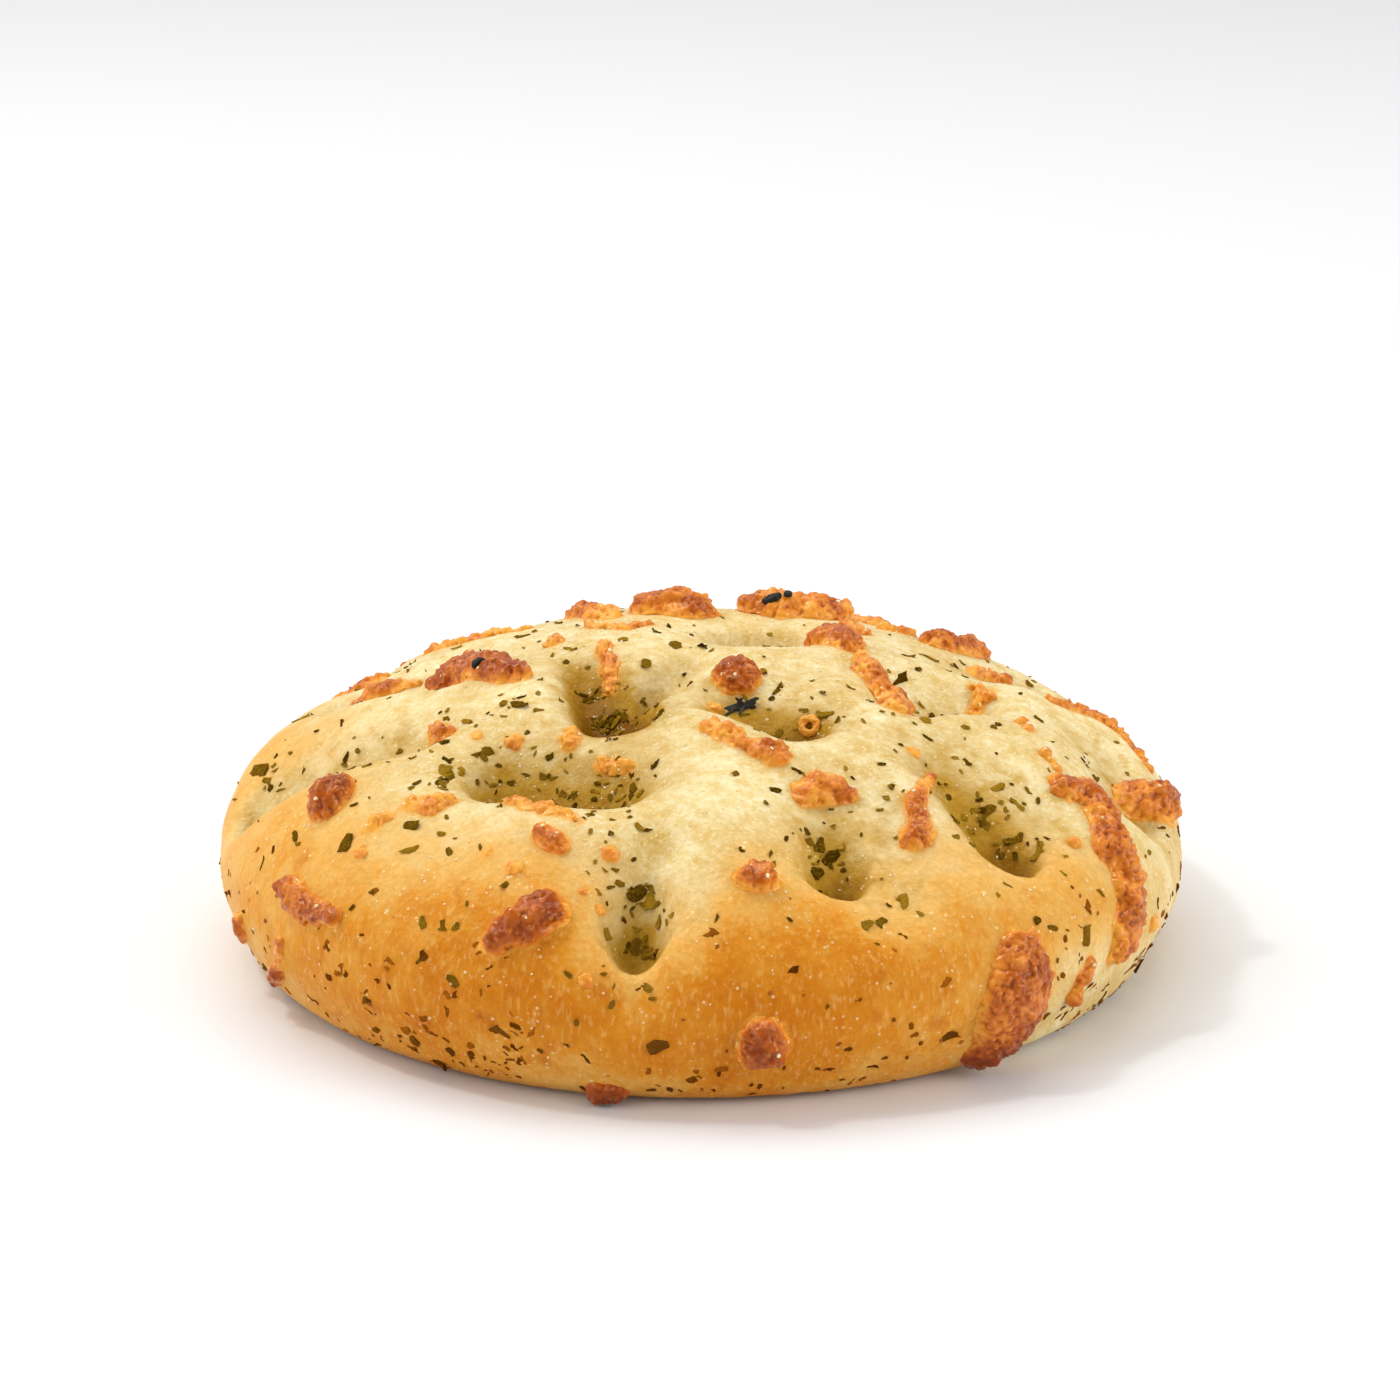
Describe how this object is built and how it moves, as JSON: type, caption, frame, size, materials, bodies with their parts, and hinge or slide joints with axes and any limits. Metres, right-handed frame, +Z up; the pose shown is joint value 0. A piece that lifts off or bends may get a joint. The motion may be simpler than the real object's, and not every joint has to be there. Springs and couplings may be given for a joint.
{
  "type": "flatbread",
  "caption": "Round thick flatbread with deep finger pits, browned melted cheese and dried herbs on a golden crust, free-standing on its flat base.",
  "frame": {"origin": "middle of the flat base", "axes": "+Z up from the base to the crown, -Y towards the side seen in the picture, +X to its right"},
  "size_m": [0.1504, 0.153, 0.0479],
  "materials": {
    "crust": "baked dough crust, soft sheen",
    "browned_cheese": "browned melted cheese, glossy and pebbled"
  },
  "bodies": {
    "root": {"bread": "crust", "cheese_left_corner": "browned_cheese", "cheese_left_rim": "browned_cheese", "cheese_back_left": "browned_cheese", "cheese_big_left": "browned_cheese", "cheese_left_dot": "browned_cheese", "cheese_left_flat": "browned_cheese", "cheese_left_small": "browned_cheese", "cheese_left_top": "browned_cheese", "cheese_left_drop": "browned_cheese", "cheese_high_drop": "browned_cheese", "cheese_pit_rim": "browned_cheese", "cheese_two_lobed": "browned_cheese", "cheese_ridge_strand": "browned_cheese", "cheese_left_strand": "browned_cheese", "cheese_left_burnt": "browned_cheese", "cheese_left_edge": "browned_cheese", "cheese_front_strand": "browned_cheese", "cheese_middle_small": "browned_cheese", "cheese_base_lump": "browned_cheese", "cheese_back_small": "browned_cheese", "cheese_back_melted": "browned_cheese", "cheese_back_lump": "browned_cheese", "cheese_back_ridge": "browned_cheese", "cheese_chain_top": "browned_cheese", "cheese_chain_low": "browned_cheese", "cheese_right_tail": "browned_cheese", "cheese_right_ridge": "browned_cheese", "cheese_right_lump": "browned_cheese", "cheese_right_small": "browned_cheese", "cheese_middle_dot": "browned_cheese", "cheese_middle_strand": "browned_cheese", "cheese_middle_flat": "browned_cheese", "cheese_tall_strand": "browned_cheese", "cheese_right_strand": "browned_cheese", "cheese_right_bit": "browned_cheese", "cheese_right_thin": "browned_cheese", "cheese_right_edge": "browned_cheese", "cheese_long_strand": "browned_cheese", "cheese_right_dot": "browned_cheese", "cheese_front_dot": "browned_cheese", "cheese_low_dot": "browned_cheese", "cheese_low_right": "browned_cheese", "cheese_patch": "browned_cheese", "cheese_rear_dot": "browned_cheese", "cheese_rear_strand": "browned_cheese", "cheese_rear_flat": "browned_cheese", "cheese_rear_low": "browned_cheese", "cheese_rear_side": "browned_cheese", "cheese_rear_left": "browned_cheese"}
  },
  "joints": []
}
